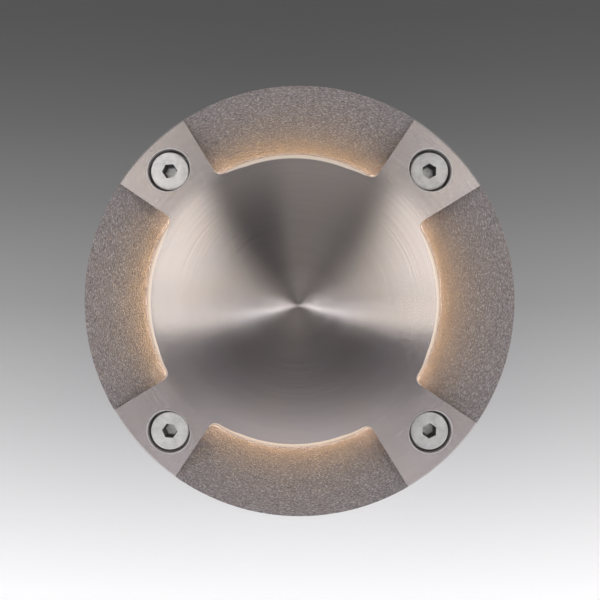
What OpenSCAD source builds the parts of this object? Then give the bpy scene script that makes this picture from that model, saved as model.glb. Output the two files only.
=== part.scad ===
// Round drive-over ground light: a turned cover with four light slots, a sealed light
// capsule below it, and a sleeve that is set in the ground. Lengths are in millimetres.
// The origin is on the light's axis at ground level, where the sleeve's flange rests.

/* [Cover face] */
// Diameter of the cover
face_d = 80; // [76:1:110]
// Thickness of the cover at its outer edge
rim_t = 5; // [4.4:0.1:8]
// Height of the turned dome above the outer edge
dome_rise = 4.5; // [3.5:0.1:6]
// Chamfer on the outer edge
edge_chamfer = 0.4; // [0.1:0.1:0.8]
// Length of a ramp, from the outer edge in to the light slot
ramp_len = 13.8; // [12.5:0.1:15]
// Depth of a ramp below the outer edge
ramp_drop = 0.4; // [0.2:0.1:0.9]
// Angle taken by each screw arm
arm_angle = 24.6; // [20:0.2:30]
// Round in the inner corners of a ramp
corner_r = 1.4; // [0.6:0.1:2]

/* [Light slots] */
// Thickness of the dome's edge above a slot
disc_edge_t = 1.9; // [1.4:0.1:2.4]
// Height of a light slot
slot_h = 2.7; // [2:0.1:3.4]
// Step from the slot's floor down to the ramp
slot_step = 0.3; // [0.1:0.05:0.6]
// Thickness of the wall that a slot goes through
slot_wall = 3.7; // [3:0.1:4.4]
// Angle left closed at each end of a slot
slot_end_angle = 3; // [2.8:0.1:5]
// Sideways offset of the casting from the turned axis
cast_shift_x = -1.1; // [-1.2:0.05:1.2]
// Offset of the casting from the turned axis, towards the top of the face
cast_shift_y = 0.15; // [-1:0.05:1]
// Turn of the casting against the drilled screw holes
cast_turn = -1.15; // [-2:0.05:2]

/* [Cover screws] */
// Distance of a screw from the cover's edge
screw_inset = 6; // [5.6:0.1:6.6]
// Diameter of the screw thread
screw_d = 4; // [3.5:0.1:4.2]
// Length of a screw under its head
screw_len = 12; // [10:0.5:13]
// Diameter of the screw head
screw_head_d = 7; // [6:0.1:7.3]
// Height of the screw head
screw_head_h = 2.8; // [2.4:0.1:3]
// Width of the hex socket across its flats
socket_af = 2.5; // [2:0.1:3]
// Depth of the hex socket
socket_depth = 2.1; // [1.6:0.1:2.2]
// Depth of the screw head below the turned surface
head_recess = 1.2; // [0.8:0.1:1.4]
// Diameter of the counterbore round the head
counterbore_d = 8; // [7.8:0.1:8.6]
// Thickness of the nylon washer under the head
washer_t = 0.5; // [0.3:0.05:0.7]

/* [Ground sleeve] */
// Thickness of the sleeve's flange on the ground
flange_t = 2; // [1.6:0.1:3]
// Set-back of the flange's edge under the cover
flange_inset = 0.6; // [0.3:0.1:1]
// Set-back of the sleeve's head under the cover
head_inset = 2; // [1.6:0.1:2.2]
// Depth of the sleeve's head in the ground
head_depth = 12; // [11:0.5:20]
// Thickness of the sleeve's wall
sleeve_wall = 2.6; // [2:0.1:3.5]
// Free depth for the cable between the gland and the foot
cable_room = 19; // [15:1:60]
// Outward step of the foot from the wall
foot_step = 5; // [3:0.5:6]
// Thickness of the foot
foot_t = 2.5; // [2:0.1:5]
// Number of ribs round the wall
rib_count = 8; // [4:4:16]
// Thickness of a rib
rib_t = 2; // [1.5:0.1:3]
// Height of a rib
rib_h = 30; // [20:1:34]
// Width of a cable slot in the foot
cable_slot_w = 10; // [8:0.5:14]
// Height of a cable slot
cable_slot_h = 12; // [8:0.5:14]
// Outer diameter of a threaded insert
insert_d = 5.4; // [5:0.1:5.8]
// Length of a threaded insert
insert_len = 8; // [5:0.5:8.4]
// Plastic between an insert and the sleeve's bore
boss_wall = 0.9; // [0.7:0.1:1.2]

/* [Capsule] */
// Width of the ledge that carries the capsule
ledge_w = 2; // [1.5:0.1:2.6]
// Air gap between the capsule and the sleeve
barrel_gap = 2.4; // [1.5:0.1:3]
// Length of the capsule's housing below its flange
barrel_len = 45; // [43:1:70]
// Thickness of the housing's wall
barrel_wall = 3; // [2.6:0.1:3.4]
// Thickness of the housing's flange
capsule_flange_t = 4; // [3.8:0.1:6]
// Depth of a cooling groove
fin_depth = 1; // [0.4:0.1:1.4]
// Spacing of the cooling grooves
fin_pitch = 4; // [3:0.5:6]
// Number of cooling grooves
fin_count = 7; // [2:1:8]
// Thickness of the lens glass
glass_t = 4; // [3:0.1:5]
// Thickness of the seal under the glass
glass_gasket_t = 1; // [0.6:0.1:1.6]
// Thickness of the retaining ring
ring_t = 1.5; // [1.3:0.1:2]
// Lap of the retaining ring over the glass
ring_lap = 4; // [2.5:0.1:5]
// Thickness of the seal under the cover
cover_gasket_t = 1.5; // [1:0.1:2.5]
// Width of the seal under the cover
cover_gasket_w = 3; // [2:0.1:3.6]

/* [Light source] */
// Depth of the light chamber under the glass seal
light_chamber_h = 12; // [11:0.5:16]
// Thickness of the web that carries the light board
web_t = 3; // [2.5:0.1:5]
// Thickness of a circuit board
board_t = 1.6; // [1:0.1:2]
// Thickness of the thermal pad
thermal_pad_t = 0.5; // [0.3:0.1:1]
// Diameter of the light source
emitter_d = 9; // [6:0.5:12]
// Height of the light source
emitter_h = 0.8; // [0.5:0.1:1.2]
// Wall of the pressed reflector
reflector_t = 0.8; // [0.5:0.1:1]
// Diameter of the cone under the dome
cone_d = 26; // [20:1:30]
// Height of the cone under the dome
cone_h = 5; // [4:0.1:5.4]

/* [Driver] */
// Length of a board standoff
standoff_len = 6; // [5:0.5:8]
// Width of a standoff across its flats
standoff_af = 4.5; // [4:0.1:5.5]
// Diameter of a capacitor
capacitor_d = 8; // [5:0.5:8.5]
// Height of a capacitor
capacitor_h = 9.5; // [8:0.5:11]
// Side of the inductor
inductor_w = 11; // [8:0.5:12]
// Height of the inductor
inductor_h = 6.5; // [4:0.5:10]
// Length of the terminal block
terminal_w = 10; // [8:0.5:11]
// Depth of the terminal block
terminal_d = 7.5; // [6:0.5:8]
// Height of the terminal block
terminal_h = 8.5; // [6:0.5:10]
// Diameter of a lead
lead_d = 1.5; // [1:0.1:1.8]

/* [End cap and gland] */
// Thickness of the end cap
end_cap_t = 4; // [3.4:0.1:6]
// Length of the end cap's spigot in the housing
spigot_len = 8; // [7:0.5:9]
// Diameter of the section of the end cap's seal ring
seal_d = 1.6; // [1.2:0.1:2]
// Diameter of the gland's thread
gland_thread_d = 16; // [15.6:0.1:20]
// Width of the gland's hexagon across its flats
gland_af = 19; // [18.4:0.2:24]
// Thickness of the gland's hexagon
gland_hex_t = 5; // [4:0.5:7]
// Thickness of the seal ring at the gland
gland_ring_t = 1; // [0.6:0.1:1.5]
// Length of the gland's nut
gland_nut_len = 12; // [11:0.5:18]
// Diameter of the cable passage in the gland's seal
cable_d = 7; // [5:0.5:7.5]

/* [Small screws] */
// Diameter of a small screw's thread
small_d = 2; // [1.6:0.1:2.2]
// Diameter of a small screw's head
small_head_d = 3.8; // [3:0.1:4]
// Height of a small screw's head
small_head_h = 1.2; // [1:0.1:1.3]
// Length of a small screw under its head
small_len = 6; // [5:0.5:7]
// Width of a small screw's socket across its flats
small_socket_af = 1.3; // [0.9:0.1:1.5]

/* [Hidden] */
$fn = 96;

// Clearances and overruns that many pieces share
cut_over = 1;
fit_gap = 0.05;
loose_gap = 0.2;
tip_gap = 0.6;
screw_clearance = 0.15;
dome_fn = 256;
arc_steps = 36;
corner_steps = 8;

// Radii of the cover
face_r = face_d / 2;
dome_r = (face_r * face_r + dome_rise * dome_rise) / (2 * dome_rise);
disc_r = face_r - ramp_len;
cavity_r = disc_r - slot_wall;
screw_r = face_r - screw_inset;
counterbore_r = counterbore_d / 2;
pocket_reach = face_r + screw_inset;
pocket_angle = 90 - arm_angle;
slot_angle = pocket_angle - 2 * slot_end_angle;
corner_angle = asin(corner_r / (disc_r + corner_r));
counterbore_chamfer = 0.25;

// Levels of the cover
seat_z = flange_t;
rim_z = seat_z + rim_t;
apex_z = rim_z + dome_rise;
slot_top_z = dome_z(disc_r) - disc_edge_t;
sill_z = slot_top_z - slot_h;
ramp_z = sill_z - slot_step;
ramp_slope = (rim_z - ramp_drop - ramp_z) / ramp_len;
pad_z = dome_z(screw_r);
head_top_z = pad_z - head_recess;
head_under_z = head_top_z - screw_head_h;
counterbore_z = head_under_z - washer_t;
screw_tip_z = head_under_z - screw_len;
pad_tilt = asin(screw_r / dome_r);

// Parts that hang from the cover
lip_t = 1;
lip_h = 1.2;
window_setback = 0.7;
diffuser_t = 1.6;
window_gap_angle = 0.3;
cone_tip_r = 2.8;
cone_screw_head_r = 2.2;
cone_screw_head_h = 1.4;
cone_screw_r = 1.25;
cone_screw_bite = 2.4;
cone_socket_af = 1.5;

// Sleeve
sleeve_bore_r = screw_r - insert_d / 2 - boss_wall;
sleeve_head_r = face_r - head_inset;
sleeve_flange_r = face_r - flange_inset;
sleeve_inner_r = sleeve_bore_r - ledge_w;
sleeve_outer_r = sleeve_inner_r + sleeve_wall;
insert_recess = 0.5;
insert_top_z = seat_z - insert_recess;
insert_hole_r = screw_d / 2 + fit_gap;
clearance_hole_r = screw_d / 2 + screw_clearance;
anchor_step = 4.5;
anchor_t = 2.5;
rib_foot_w = 0.6;

// Capsule, from the top down
ring_top_z = seat_z - cover_gasket_t;
ring_z = ring_top_z - ring_t;
ledge_z = ring_z - capsule_flange_t;
glass_z = ring_z - glass_t;
glass_seat_z = glass_z - glass_gasket_t;
web_z = glass_seat_z - light_chamber_h;
web_under_z = web_z - web_t;
housing_end_z = ledge_z - barrel_len;
end_cap_z = housing_end_z - end_cap_t;
capsule_gap = 0.5;
capsule_flange_r = sleeve_bore_r - capsule_gap;
barrel_r = sleeve_inner_r - barrel_gap;
chamber_r = barrel_r - barrel_wall;
glass_seat_r = barrel_r - barrel_wall / 3;
light_chamber_r = chamber_r - loose_gap;
retaining_ring_r = capsule_flange_r - capsule_gap;
ring_screw_r = retaining_ring_r - small_head_d / 2 - capsule_gap;
ring_screw_count = 6;
ring_screw_len = 4.5;
fin_w = 2;
fin_start = 8;
wire_hole_r = lead_d / 2 + loose_gap;

// Light source
pad_top_z = web_z + thermal_pad_t;
board_top_z = pad_top_z + board_t;
board_r = light_chamber_r - 3 * loose_gap;
board_screw_share = 0.84;
board_screw_count = 3;
board_screw_start = 30;
board_screw_r = board_r * board_screw_share;
lead_share = 0.6;
lead_r = board_r * lead_share;
lead_angle = 12;
lead_tail = 0.4;
reflector_foot_r = emitter_d / 2 + 2 * loose_gap;
reflector_lip_w = 2;
reflector_lip_t = 1;

// Driver
driver_top_z = web_under_z - standoff_len;
driver_under_z = driver_top_z - board_t;
driver_r = chamber_r - 3 * loose_gap;
standoff_share = 0.8;
standoff_count = 3;
standoff_start = 60;
standoff_r = driver_r * standoff_share;
component_gap = 0.5;
capacitor_vent_d = 5;
capacitor_vent_t = 0.3;
inductor_coil_d = 8;
inductor_corner_r = 1.5;
chip_shares = [[0, 0.45], [0, -0.45], [-0.3, 0]];
chip_w = 4;
chip_h = 1.6;
terminal_ways = 2;
terminal_hole_d = 2.6;

// End cap and gland
end_screw_r = (chamber_r + barrel_r) / 2;
end_screw_count = 4;
end_screw_start = 45;
end_cap_step = 1;
spigot_r = chamber_r - loose_gap / 2;
spigot_wall = 2.6;
groove_w = seal_d + 2 * loose_gap;
groove_z = housing_end_z + spigot_len / 2;
groove_r = chamber_r - seal_d - 2 * fit_gap;
gland_thread_r = gland_thread_d / 2;
gland_boss_wall = 3;
gland_boss_h = 4;
gland_thread_top_z = housing_end_z + gland_boss_h;
gland_hex_top_z = end_cap_z - gland_ring_t;
gland_hex_z = gland_hex_top_z - gland_hex_t;
gland_nut_gap = 0.5;
gland_nut_top_z = gland_hex_z - gland_nut_gap;
gland_nut_z = gland_nut_top_z - gland_nut_len;
gland_nut_floor_t = 2;
gland_nut_floor_z = gland_nut_z + gland_nut_floor_t;
gland_collar_gap = 1.4;
gland_collar_z = gland_nut_floor_z + gland_collar_gap;
gland_wall = 1.4;
gland_seal_r = gland_thread_r - gland_wall - fit_gap;
gland_seal_top_z = gland_hex_z + gland_nut_gap;
gland_nut_thread_r = gland_thread_r + fit_gap;
gland_mouth_r = cable_d / 2 + 4 * loose_gap;
gland_bore_r = cable_d / 2 + 2 * loose_gap;
gland_crown = 3;

// Places on the driver's board, from the terminal block inwards, clear of the end cap
component_reach = spigot_r - spigot_wall - component_gap;
terminal_x = sqrt(pow(component_reach, 2) - pow(terminal_w / 2, 2)) - terminal_d / 2;
inductor_x = terminal_x - terminal_d / 2 - component_gap - inductor_w / 2;
capacitor_x = inductor_x - inductor_w / 4;
capacitor_y = (inductor_w + capacitor_d) / 2 + component_gap;

// Depths that depend on the gland
foot_z = gland_nut_z - cable_room;
anchor_z = (foot_z + gland_hex_z) / 2;

// Turn of each screw's hex socket, from the screw in the upper right on anticlockwise
socket_turns = [30, 4, -5, 27];

// Height of the turned surface at a distance from the axis
function dome_z(r) = apex_z - dome_r + sqrt(dome_r * dome_r - r * r);

// Height of a ramp at a distance from the casting's axis
function ramp_height(r) = ramp_z + (r - disc_r) * ramp_slope;

function polar(r, angle) = [r * cos(angle), r * sin(angle)];

// One inner corner of a ramp, from the arm's side round to the dome's edge
function corner_points(side) = [for (i = [0:corner_steps])
    polar(disc_r + corner_r, side * (pocket_angle / 2 - corner_angle))
    + polar(corner_r, side * (pocket_angle / 2 + 90
        + i / corner_steps * (90 - corner_angle)))];

function reversed(points) = [for (i = [len(points) - 1:-1:0]) points[i]];

// The dome's edge along one ramp, without its corners
function edge_points() = let (half = pocket_angle / 2 - corner_angle)
    [for (i = [1:arc_steps - 1]) polar(disc_r, -half + 2 * half * i / arc_steps)];

module disc_at(r, z0, z1) {
    translate([0, 0, z0]) cylinder(r = r, h = z1 - z0);
}

module ring_at(r_out, r_in, z0, z1) {
    difference() {
        disc_at(r_out, z0, z1);
        disc_at(r_in, z0 - cut_over, z1 + cut_over);
    }
}

module sector_at(r_in, r_out, z0, z1, angle) {
    rotate(-angle / 2) rotate_extrude(angle = angle)
        translate([r_in, z0]) square([r_out - r_in, z1 - z0]);
}

module hex_at(af, z0, z1) {
    translate([0, 0, z0]) cylinder(r = af / 2 / cos(30), h = z1 - z0, $fn = 6);
}

module round_copies(count, r, start = 0) {
    for (i = [0:count - 1]) rotate(start + i * 360 / count) translate([r, 0, 0]) children();
}

module quarters() {
    for (i = [0:3]) rotate(i * 90) children();
}

// The casting sits a little beside the turned axis and is turned a little against it
module in_casting() {
    translate([cast_shift_x, cast_shift_y, 0]) rotate(cast_turn) children();
}

module at_screw(index) {
    rotate(45 + index * 90) translate([screw_r, 0, 0]) children();
}

// A small screw with its head's underside at z = 0 and its thread pointing down
module small_screw(length) {
    difference() {
        disc_at(small_head_d / 2, 0, small_head_h);
        hex_at(small_socket_af, small_head_h / 2, small_head_h + cut_over);
    }
    disc_at(small_d / 2, -length, small_head_h / 4);
}

module dome_blank() {
    rotate_extrude() intersection() {
        translate([0, apex_z - dome_r]) circle(r = dome_r, $fn = dome_fn);
        polygon([[0, seat_z], [face_r - edge_chamfer / 2, seat_z],
            [face_r, seat_z + edge_chamfer / 2], [face_r, rim_z - edge_chamfer],
            [face_r - edge_chamfer, dome_z(face_r - edge_chamfer)],
            [face_r - edge_chamfer, apex_z + cut_over], [0, apex_z + cut_over]]);
    }
}

module ramp_pocket() {
    side = [pocket_reach, pocket_reach * tan(pocket_angle / 2)];
    intersection() {
        translate([0, 0, seat_z]) linear_extrude(apex_z - seat_z + cut_over)
            polygon(concat([[side[0], -side[1]]], corner_points(-1), edge_points(),
                reversed(corner_points(1)), [side]));
        rotate_extrude() polygon([[cavity_r, ramp_height(cavity_r)],
            [2 * face_r, ramp_height(2 * face_r)],
            [2 * face_r, 2 * ramp_height(2 * face_r)], [cavity_r, 2 * ramp_height(2 * face_r)]]);
    }
}

module screw_seat() {
    disc_at(clearance_hole_r, seat_z - cut_over, pad_z);
    disc_at(counterbore_r, counterbore_z, apex_z);
    translate([0, 0, pad_z]) rotate([0, pad_tilt, 0]) translate([0, 0, -2 * counterbore_chamfer])
        cylinder(r1 = counterbore_r - counterbore_chamfer, r2 = counterbore_r + cut_over,
            h = counterbore_chamfer + cut_over);
}

module top_cover() {
    color("silver") difference() {
        union() {
            dome_blank();
            ring_at(sleeve_bore_r - loose_gap, sleeve_bore_r - loose_gap - lip_t,
                seat_z - lip_h, seat_z + lip_h);
        }
        in_casting() {
            quarters() ramp_pocket();
            quarters() sector_at(cavity_r - cut_over, disc_r + cut_over, sill_z, slot_top_z,
                slot_angle);
            disc_at(cavity_r, seat_z - cut_over, slot_top_z);
            disc_at(cone_screw_r + fit_gap, seat_z, slot_top_z + cone_screw_bite + tip_gap);
        }
        for (i = [0:3]) at_screw(i) screw_seat();
    }
}

module diffuser_ring() {
    color("moccasin") in_casting() {
        ring_at(cavity_r - fit_gap, cavity_r - fit_gap - diffuser_t, seat_z + loose_gap,
            slot_top_z - fit_gap);
        quarters() sector_at(cavity_r - diffuser_t, disc_r - window_setback, sill_z + fit_gap,
            slot_top_z - fit_gap, slot_angle - 2 * window_gap_angle);
    }
}

module reflector_cone() {
    color("gainsboro") in_casting() difference() {
        translate([0, 0, slot_top_z - cone_h])
            cylinder(r1 = cone_tip_r, r2 = cone_d / 2, h = cone_h);
        disc_at(cone_screw_r + fit_gap, seat_z - cut_over, apex_z);
    }
}

module reflector_screw() {
    under_z = slot_top_z - cone_h;
    color("gray") in_casting() difference() {
        union() {
            disc_at(cone_screw_head_r, under_z - cone_screw_head_h, under_z);
            disc_at(cone_screw_r, under_z - cone_screw_head_h / 2, slot_top_z + cone_screw_bite);
        }
        hex_at(cone_socket_af, under_z - cone_screw_head_h - cut_over,
            under_z - cone_screw_head_h / 3);
    }
}

module cover_gasket() {
    inner_r = cavity_r + abs(cast_shift_x) + 2 * loose_gap;
    color("dimgray") ring_at(inner_r + cover_gasket_w, inner_r, ring_top_z, seat_z);
}

module screw_washer(index) {
    color("whitesmoke") at_screw(index) ring_at(screw_head_d / 2 + loose_gap,
        screw_d / 2 + fit_gap, counterbore_z, head_under_z);
}

module cover_screw(index) {
    head_r = screw_head_d / 2;
    round_w = screw_head_h / 10;
    color("lightgray") at_screw(index) rotate(socket_turns[index] - 45 - index * 90)
        difference() {
            union() {
                rotate_extrude() polygon([[0, head_under_z], [head_r - round_w, head_under_z],
                    [head_r, head_under_z + round_w], [head_r, head_top_z - round_w],
                    [head_r - round_w / 4, head_top_z - round_w / 4],
                    [head_r - round_w, head_top_z], [0, head_top_z]]);
                disc_at(screw_d / 2, screw_tip_z + screw_d / 8, head_under_z + round_w);
                translate([0, 0, screw_tip_z])
                    cylinder(r1 = screw_d * 3 / 8, r2 = screw_d / 2, h = screw_d / 8);
            }
            hex_at(socket_af, head_top_z - socket_depth, head_top_z + cut_over);
        }
}

module capsule_housing() {
    color("dimgray") difference() {
        union() {
            disc_at(capsule_flange_r, ledge_z, ring_z);
            disc_at(barrel_r, housing_end_z, ring_z);
        }
        disc_at(glass_seat_r, glass_seat_z, ring_z + cut_over);
        disc_at(light_chamber_r, web_z, ring_z);
        disc_at(chamber_r, housing_end_z - cut_over, web_under_z);
        for (i = [0:fin_count - 1]) let (z = ledge_z - fin_start - i * fin_pitch)
            ring_at(barrel_r + cut_over, barrel_r - fin_depth, z - fin_w, z);
        for (side = [-1, 1]) rotate(side * lead_angle) translate([lead_r, 0, 0])
            disc_at(wire_hole_r, web_under_z - cut_over, web_z + cut_over);
        round_copies(ring_screw_count, ring_screw_r)
            disc_at(small_d / 2 + fit_gap, ring_top_z - ring_screw_len - loose_gap, ring_z
                + cut_over);
        round_copies(board_screw_count, board_screw_r, board_screw_start)
            disc_at(small_d / 2 + fit_gap, web_z - web_t * 3 / 4, web_z + cut_over);
        round_copies(standoff_count, standoff_r, standoff_start)
            disc_at(small_d / 2 + fit_gap, web_under_z - cut_over, web_under_z + web_t / 2);
        round_copies(end_screw_count, end_screw_r, end_screw_start)
            disc_at(small_d / 2 + fit_gap, housing_end_z - cut_over,
                end_cap_z + small_head_h + small_len + tip_gap);
    }
}

module glass_gasket() {
    color("black") ring_at(glass_seat_r - fit_gap, light_chamber_r + loose_gap, glass_seat_z,
        glass_z);
}

module glass_lens() {
    color("powderblue") disc_at(glass_seat_r - loose_gap, glass_z, ring_z);
}

// A countersunk screw, or the hole for it with a gap round it and an overrun above it
module countersunk(length, gap, rise) {
    shank_r = small_d / 2 + gap;
    slope = (small_head_d - small_d) / 2 / small_head_h;
    rotate_extrude() polygon([[0, -length], [shank_r, -length], [shank_r, -small_head_h],
        [small_head_d / 2 + gap + slope * rise, rise], [0, rise]]);
}

module retaining_ring() {
    color("silver") difference() {
        ring_at(retaining_ring_r, glass_seat_r - ring_lap, ring_z, ring_top_z);
        round_copies(ring_screw_count, ring_screw_r) translate([0, 0, ring_top_z])
            countersunk(ring_t + cut_over, fit_gap, cut_over);
    }
}

module retaining_screws() {
    color("gray") round_copies(ring_screw_count, ring_screw_r) translate([0, 0, ring_top_z])
        difference() {
            countersunk(ring_screw_len, 0, 0);
            hex_at(small_socket_af, -small_head_h / 2, cut_over);
        }
}

module thermal_pad() {
    color("slategray") difference() {
        disc_at(board_r, web_z, pad_top_z);
        board_holes(web_z - cut_over, pad_top_z + cut_over);
    }
}

// Screw and lead holes that the light board and its pad share
module board_holes(z0, z1) {
    round_copies(board_screw_count, board_screw_r, board_screw_start)
        disc_at(small_d / 2 + fit_gap, z0, z1);
    for (side = [-1, 1]) rotate(side * lead_angle) translate([lead_r, 0, 0])
        disc_at(lead_d / 2 + fit_gap, z0, z1);
}

module led_board() {
    color("white") difference() {
        disc_at(board_r, pad_top_z, board_top_z);
        board_holes(pad_top_z - cut_over, board_top_z + cut_over);
    }
}

module led_emitter() {
    color("gold") disc_at(emitter_d / 2, board_top_z, board_top_z + emitter_h);
}

module led_reflector() {
    lip_z = glass_seat_z - reflector_lip_t;
    lip_r = light_chamber_r - 2 * fit_gap;
    wide_r = lip_r - reflector_lip_w;
    color("lightgray") rotate_extrude() polygon([[reflector_foot_r, board_top_z],
        [reflector_foot_r + reflector_t, board_top_z], [wide_r + reflector_t, lip_z],
        [lip_r, lip_z], [lip_r, glass_seat_z], [wide_r, glass_seat_z]]);
}

module board_screws() {
    color("gray") round_copies(board_screw_count, board_screw_r, board_screw_start)
        translate([0, 0, board_top_z]) small_screw(board_t + thermal_pad_t + web_t / 2);
}

module driver_standoffs() {
    color("goldenrod") round_copies(standoff_count, standoff_r, standoff_start) {
        difference() {
            hex_at(standoff_af, driver_top_z, web_under_z);
            disc_at(small_d / 2 + fit_gap, driver_top_z - cut_over, driver_top_z
                + standoff_len * 2 / 3);
        }
        disc_at(small_d / 2, web_under_z - web_t / 8, web_under_z + web_t / 3);
    }
}

module driver_board() {
    color("darkgreen") difference() {
        disc_at(driver_r, driver_under_z, driver_top_z);
        round_copies(standoff_count, standoff_r, standoff_start)
            disc_at(small_d / 2 + fit_gap, driver_under_z - cut_over, driver_top_z + cut_over);
    }
}

module driver_screws() {
    color("gray") round_copies(standoff_count, standoff_r, standoff_start)
        translate([0, 0, driver_under_z]) mirror([0, 0, 1])
            small_screw(board_t + standoff_len / 2);
}

module driver_capacitors() {
    color("midnightblue") for (side = [-1, 1]) translate([capacitor_x, side * capacitor_y, 0])
        difference() {
            disc_at(capacitor_d / 2, driver_under_z - capacitor_h, driver_under_z);
            disc_at(capacitor_vent_d / 2, driver_under_z - capacitor_h - cut_over,
                driver_under_z - capacitor_h + capacitor_vent_t);
        }
}

module driver_inductor() {
    color("darkslategray") translate([inductor_x, 0, 0]) difference() {
        translate([-inductor_w / 2, -inductor_w / 2, driver_under_z - inductor_h])
            cube([inductor_w, inductor_w, inductor_h]);
        ring_at(inductor_w, inductor_w / 2 + inductor_corner_r, driver_under_z - inductor_h
            - cut_over, driver_under_z + cut_over);
        ring_at(inductor_coil_d / 2, inductor_coil_d / 3, driver_under_z - inductor_h
            - cut_over, driver_under_z - inductor_h * 3 / 4);
    }
}

module driver_chips() {
    color("black") for (place = chip_shares) translate(driver_r * place)
        translate([-chip_w / 2, -chip_w / 2, driver_top_z]) cube([chip_w, chip_w, chip_h]);
}

module terminal_block() {
    way = terminal_w / terminal_ways;
    color("seagreen") translate([terminal_x, 0, 0]) difference() {
        translate([-terminal_d / 2, -terminal_w / 2, driver_under_z - terminal_h])
            cube([terminal_d, terminal_w, terminal_h]);
        for (i = [0:terminal_ways - 1]) translate([0, (i - (terminal_ways - 1) / 2) * way, 0])
            disc_at(terminal_hole_d / 2, driver_under_z - terminal_h - cut_over,
                driver_under_z - terminal_h / 3);
    }
}

module led_leads() {
    color("firebrick") for (side = [-1, 1]) rotate(side * lead_angle) translate([lead_r, 0, 0])
        disc_at(lead_d / 2, driver_top_z, board_top_z + lead_tail);
}

module end_cap() {
    color("dimgray") difference() {
        union() {
            disc_at(barrel_r + end_cap_step, end_cap_z, housing_end_z);
            ring_at(spigot_r, spigot_r - spigot_wall, end_cap_z + end_cap_t / 2, housing_end_z
                + spigot_len);
            disc_at(gland_thread_r + gland_boss_wall, end_cap_z + end_cap_t / 2,
                gland_thread_top_z);
        }
        ring_at(spigot_r + cut_over, groove_r, groove_z - groove_w / 2, groove_z + groove_w / 2);
        disc_at(gland_thread_r + fit_gap, end_cap_z - cut_over, gland_thread_top_z + cut_over);
        round_copies(end_screw_count, end_screw_r, end_screw_start) {
            disc_at(small_d / 2 + fit_gap, end_cap_z - cut_over, housing_end_z + cut_over);
            disc_at(small_head_d / 2 + loose_gap / 2, end_cap_z - cut_over, end_cap_z
                + small_head_h);
        }
    }
}

module end_cap_seal() {
    color("black") rotate_extrude() translate([groove_r + fit_gap + seal_d / 2, groove_z])
        circle(r = seal_d / 2);
}

module end_cap_screws() {
    color("gray") round_copies(end_screw_count, end_screw_r, end_screw_start)
        translate([0, 0, end_cap_z + small_head_h]) mirror([0, 0, 1]) small_screw(small_len);
}

module gland_body() {
    color("black") difference() {
        union() {
            disc_at(gland_thread_r, gland_collar_z, gland_thread_top_z);
            hex_at(gland_af, gland_hex_z, gland_hex_top_z);
        }
        disc_at(gland_bore_r, gland_collar_z - cut_over, gland_thread_top_z + cut_over);
        disc_at(gland_thread_r - gland_wall, gland_collar_z - cut_over, gland_seal_top_z);
    }
}

module gland_o_ring() {
    color("dimgray") ring_at(gland_af / 2, gland_thread_r + fit_gap, gland_hex_top_z,
        end_cap_z);
}

module gland_seal() {
    color("gray") ring_at(gland_seal_r, cable_d / 2, gland_nut_floor_z, gland_seal_top_z);
}

module gland_nut() {
    outer_r = gland_af / 2 / cos(30);
    color("black") difference() {
        intersection() {
            hex_at(gland_af, gland_nut_z, gland_nut_top_z);
            rotate_extrude() polygon([[0, gland_nut_z], [outer_r - gland_crown, gland_nut_z],
                [outer_r, gland_nut_z + gland_crown], [outer_r, gland_nut_top_z],
                [0, gland_nut_top_z]]);
        }
        disc_at(gland_nut_thread_r, gland_nut_floor_z, gland_nut_top_z + cut_over);
        disc_at(gland_mouth_r, gland_nut_z - cut_over, gland_nut_top_z);
    }
}

module sleeve_rib() {
    wide = sleeve_head_r - sleeve_outer_r - rib_foot_w;
    translate([sleeve_outer_r, rib_t / 2, -head_depth]) rotate([90, 0, 0]) linear_extrude(rib_t)
        polygon([[-sleeve_wall / 2, head_depth / 4], [wide, head_depth / 4], [wide, 0],
            [rib_foot_w, -rib_h], [-sleeve_wall / 2, -rib_h]]);
}

module ground_sleeve() {
    color("darkslategray") difference() {
        union() {
            disc_at(sleeve_flange_r, 0, seat_z);
            disc_at(sleeve_head_r, -head_depth, flange_t / 2);
            disc_at(sleeve_outer_r, foot_z, -head_depth / 2);
            disc_at(sleeve_outer_r + anchor_step, anchor_z, anchor_z + anchor_t);
            disc_at(sleeve_outer_r + foot_step, foot_z, foot_z + foot_t);
            round_copies(rib_count, 0, 180 / rib_count) sleeve_rib();
        }
        disc_at(sleeve_bore_r, ledge_z, seat_z + cut_over);
        disc_at(sleeve_inner_r, foot_z - cut_over, seat_z);
        for (i = [0:3]) at_screw(i) {
            disc_at(insert_d / 2 + fit_gap, insert_top_z - insert_len, seat_z + cut_over);
            disc_at(clearance_hole_r, screw_tip_z - tip_gap, seat_z);
        }
        translate([-face_r, -cable_slot_w / 2, foot_z - cut_over])
            cube([2 * face_r, cable_slot_w, cable_slot_h + cut_over]);
    }
}

module threaded_inserts() {
    color("goldenrod") for (i = [0:3]) at_screw(i)
        ring_at(insert_d / 2, insert_hole_r, insert_top_z - insert_len, insert_top_z);
}

top_cover();
diffuser_ring();
reflector_cone();
reflector_screw();
cover_gasket();
screw_washer(0);  // screw_washer_1
screw_washer(1);  // screw_washer_2
screw_washer(2);  // screw_washer_3
screw_washer(3);  // screw_washer_4
cover_screw(0);  // cover_screw_1
cover_screw(1);  // cover_screw_2
cover_screw(2);  // cover_screw_3
cover_screw(3);  // cover_screw_4
capsule_housing();
glass_gasket();
glass_lens();
retaining_ring();
retaining_screws();
thermal_pad();
led_board();
led_emitter();
led_reflector();
board_screws();
driver_standoffs();
driver_board();
driver_screws();
driver_capacitors();
driver_inductor();
driver_chips();
terminal_block();
led_leads();
end_cap();
end_cap_seal();
end_cap_screws();
gland_body();
gland_o_ring();
gland_seal();
gland_nut();
ground_sleeve();
threaded_inserts();
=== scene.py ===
"""Looks of the round ground light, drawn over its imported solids.

The scene is in metres. Inside the finishes every place and size is in millimetres.
"""
import math

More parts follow.
